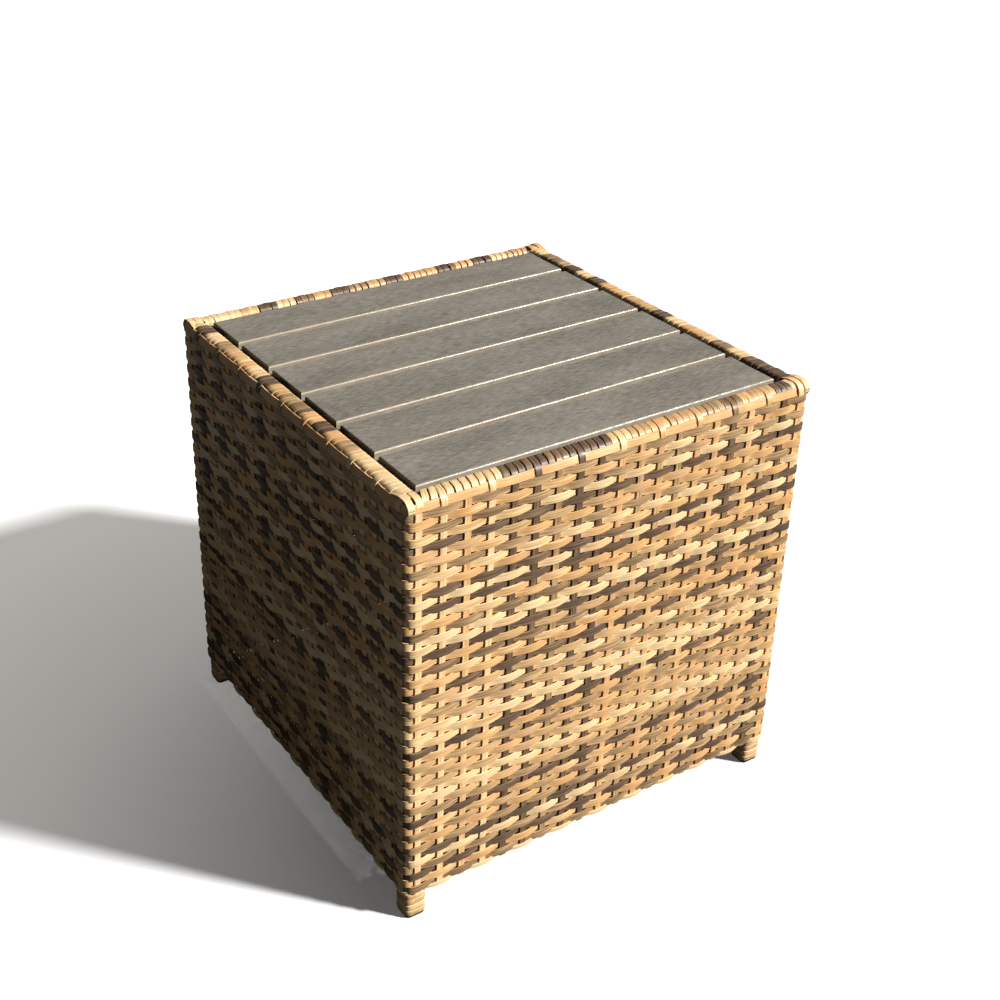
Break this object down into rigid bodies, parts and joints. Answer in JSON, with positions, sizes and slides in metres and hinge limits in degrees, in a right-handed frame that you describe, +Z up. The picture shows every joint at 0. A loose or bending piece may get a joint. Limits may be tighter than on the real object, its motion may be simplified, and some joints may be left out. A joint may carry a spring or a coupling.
{
  "type": "propane tank cover table",
  "caption": "Square patio side table of woven resin strand with a lift-out slatted top; it is open below, to stand over a gas cylinder and hide it.",
  "frame": {"origin": "on the floor, under the middle of the footprint", "axes": "+Z up, -Y the front, -X the left side; the slats run along X"},
  "size_m": [0.508, 0.508, 0.508],
  "materials": {
    "resin_strand": "extruded flat strand with fine lengthwise lines, honey, tan, olive-grey and dark brown mixed",
    "slat_board": "weathered grey-brown grain with pale sawn edges",
    "batten_board": "weathered grey-brown grain",
    "frame_coating": "dark brown powder coat, satin",
    "glide_plastic": "black moulded plastic",
    "rest_rubber": "black extruded rubber strip",
    "screw_steel": "zinc plated"
  },
  "bodies": {
    "cover": {"front_left_leg": "frame_coating", "front_left_foot_glide": "glide_plastic", "front_left_foot_wrap": "resin_strand", "front_right_leg": "frame_coating", "front_right_foot_glide": "glide_plastic", "front_right_foot_wrap": "resin_strand", "back_left_leg": "frame_coating", "back_left_foot_glide": "glide_plastic", "back_left_foot_wrap": "resin_strand", "back_right_leg": "frame_coating", "back_right_foot_glide": "glide_plastic", "back_right_foot_wrap": "resin_strand", "front_top_rail": "frame_coating", "front_bottom_rail": "frame_coating", "front_woven_side": "resin_strand", "front_rim_wrap": "resin_strand", "front_bottom_wrap": "resin_strand", "right_top_rail": "frame_coating", "right_bottom_rail": "frame_coating", "right_woven_side": "resin_strand", "right_rim_wrap": "resin_strand", "right_bottom_wrap": "resin_strand", "back_top_rail": "frame_coating", "back_bottom_rail": "frame_coating", "back_woven_side": "resin_strand", "back_rim_wrap": "resin_strand", "back_bottom_wrap": "resin_strand", "left_top_rail": "frame_coating", "left_bottom_rail": "frame_coating", "left_woven_side": "resin_strand", "left_rim_wrap": "resin_strand", "left_bottom_wrap": "resin_strand", "left_support_angle": "frame_coating", "left_rest_strip": "rest_rubber", "right_support_angle": "frame_coating", "right_rest_strip": "rest_rubber"},
    "slatted_top": {"slat_1": "slat_board", "slat_2": "slat_board", "slat_3": "slat_board", "slat_4": "slat_board", "slat_5": "slat_board", "slat_6": "slat_board", "left_batten": "batten_board", "right_batten": "batten_board", "slat_screws": "screw_steel"}
  },
  "joints": [
    {"name": "top_lift", "type": "slide", "parent": "cover", "child": "slatted_top", "axis": [0, 0, 1], "range_m": [0, 0.12]}
  ]
}
